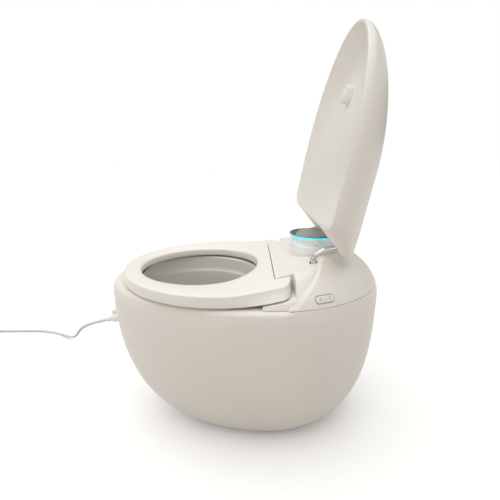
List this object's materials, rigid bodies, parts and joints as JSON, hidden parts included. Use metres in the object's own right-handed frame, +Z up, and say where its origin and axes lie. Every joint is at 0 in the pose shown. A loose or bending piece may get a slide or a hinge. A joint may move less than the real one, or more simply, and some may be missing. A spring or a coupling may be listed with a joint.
{
  "type": "composting toilet",
  "caption": "Free-standing egg-shaped electric toilet with a thick ring seat, a deep lid on bent chrome arms, a raised touch control, a bin under a trap flap and a side vent.",
  "frame": {"origin": "on the floor under the rubber pad, in the plane between the user's left and right, 10 mm in front of the widest place of the body", "axes": "+Z up, +X rearwards, so a seated user faces -X, and +Y to the user's right, which is the side with the vent"},
  "size_m": [1.474, 0.67, 0.9484],
  "materials": {
    "tub": "satin cream moulding",
    "foot": "matt",
    "bowl": "satin",
    "flap": "matt",
    "steel": "brushed",
    "bin": "matt",
    "heater": "matt",
    "bush": "turned",
    "gear": "moulded",
    "motor": "satin black",
    "vent": "satin white",
    "fan": "matt",
    "board": "lacquered board",
    "cover": "satin cream moulding",
    "white": "satin white",
    "light": "diffusing, lit cyan",
    "glass": "dark, polished",
    "seat": "satin cream moulding",
    "chrome": "polished",
    "cord": "smooth white sheath",
    "pin_metal": "nickelled"
  },
  "bodies": {
    "base": {"tub_shell": "tub", "foot_pad": "foot", "bowl_liner": "bowl", "flap_bracket": "steel", "flap_pin": "steel", "compost_bin": "bin", "bin_cradle": "bin", "heater_pad": "heater", "shaft_bushes": "bush", "motor_bracket": "steel", "gear_motor": "motor", "vent_collar": "vent", "fan_housing": "fan", "control_board": "board", "rear_deck": "cover", "rear_cover": "cover", "puck_pedestal": "white", "light_ring": "light", "puck_glass": "glass", "button_bezel": "cover", "hinge_foot_near": "chrome", "hinge_foot_far": "chrome", "lid_pin_near": "steel", "lid_pin_far": "steel", "seat_pin_near": "steel", "seat_pin_far": "steel", "cord_gland": "white", "cord_run": "cord", "cord_coil": "cord", "plug_body": "cord", "plug_pins": "pin_metal"},
    "lid": {"lid_shell": "cover", "lid_panel": "cover", "lid_buffer": "white", "lid_arm_near": "chrome", "lid_arm_far": "chrome"},
    "seat_ring": {"seat": "seat", "seat_bumpers": "foot"},
    "flap": {"trap_flap": "flap"},
    "mixer": {"agitator": "steel", "drive_gear": "gear"},
    "pinion": {"motor_pinion": "steel"},
    "impeller": {"fan_rotor": "fan"},
    "front_button": {"button_front": "white"},
    "rear_button": {"button_rear": "white"}
  },
  "joints": [
    {"name": "lid_hinge", "type": "hinge", "parent": "base", "child": "lid", "pos_m": [0.105, 0, 0.452], "axis": [0, 1, 0], "range_deg": [-105.5, 0]},
    {"name": "seat_hinge", "type": "hinge", "parent": "base", "child": "seat_ring", "pos_m": [0.045, 0, 0.42051], "axis": [0, 1, 0], "range_deg": [0, 98]},
    {"name": "flap_hinge", "type": "hinge", "parent": "base", "child": "flap", "pos_m": [-0.199, 0, 0.164], "axis": [0, 1, 0], "range_deg": [0, 58], "stiffness_Nm_per_rad": 0.06, "springref_deg": -68.75},
    {"name": "agitator_spin", "type": "hinge", "parent": "base", "child": "mixer", "pos_m": [0.02, 0, 0.1], "axis": [0, 1, 0], "continuous": true},
    {"name": "pinion_spin", "type": "hinge", "parent": "base", "child": "pinion", "pos_m": [0.072, 0, 0.1], "axis": [0, 1, 0], "continuous": true},
    {"name": "fan_spin", "type": "hinge", "parent": "base", "child": "impeller", "pos_m": [0.15, 0, 0.25], "axis": [0, 1, 0], "continuous": true},
    {"name": "front_button_press", "type": "slide", "parent": "base", "child": "front_button", "axis": [-0.3006, 0.783, -0.5446], "range_m": [0, 0.0015], "stiffness_N_per_m": 600, "springref_m": -0.001},
    {"name": "rear_button_press", "type": "slide", "parent": "base", "child": "rear_button", "axis": [-0.3006, 0.783, -0.5446], "range_m": [0, 0.0015], "stiffness_N_per_m": 600, "springref_m": -0.001}
  ],
  "couplings": [
    {"joint": "pinion_spin", "follows": "agitator_spin", "ratio": -3.3333}
  ]
}
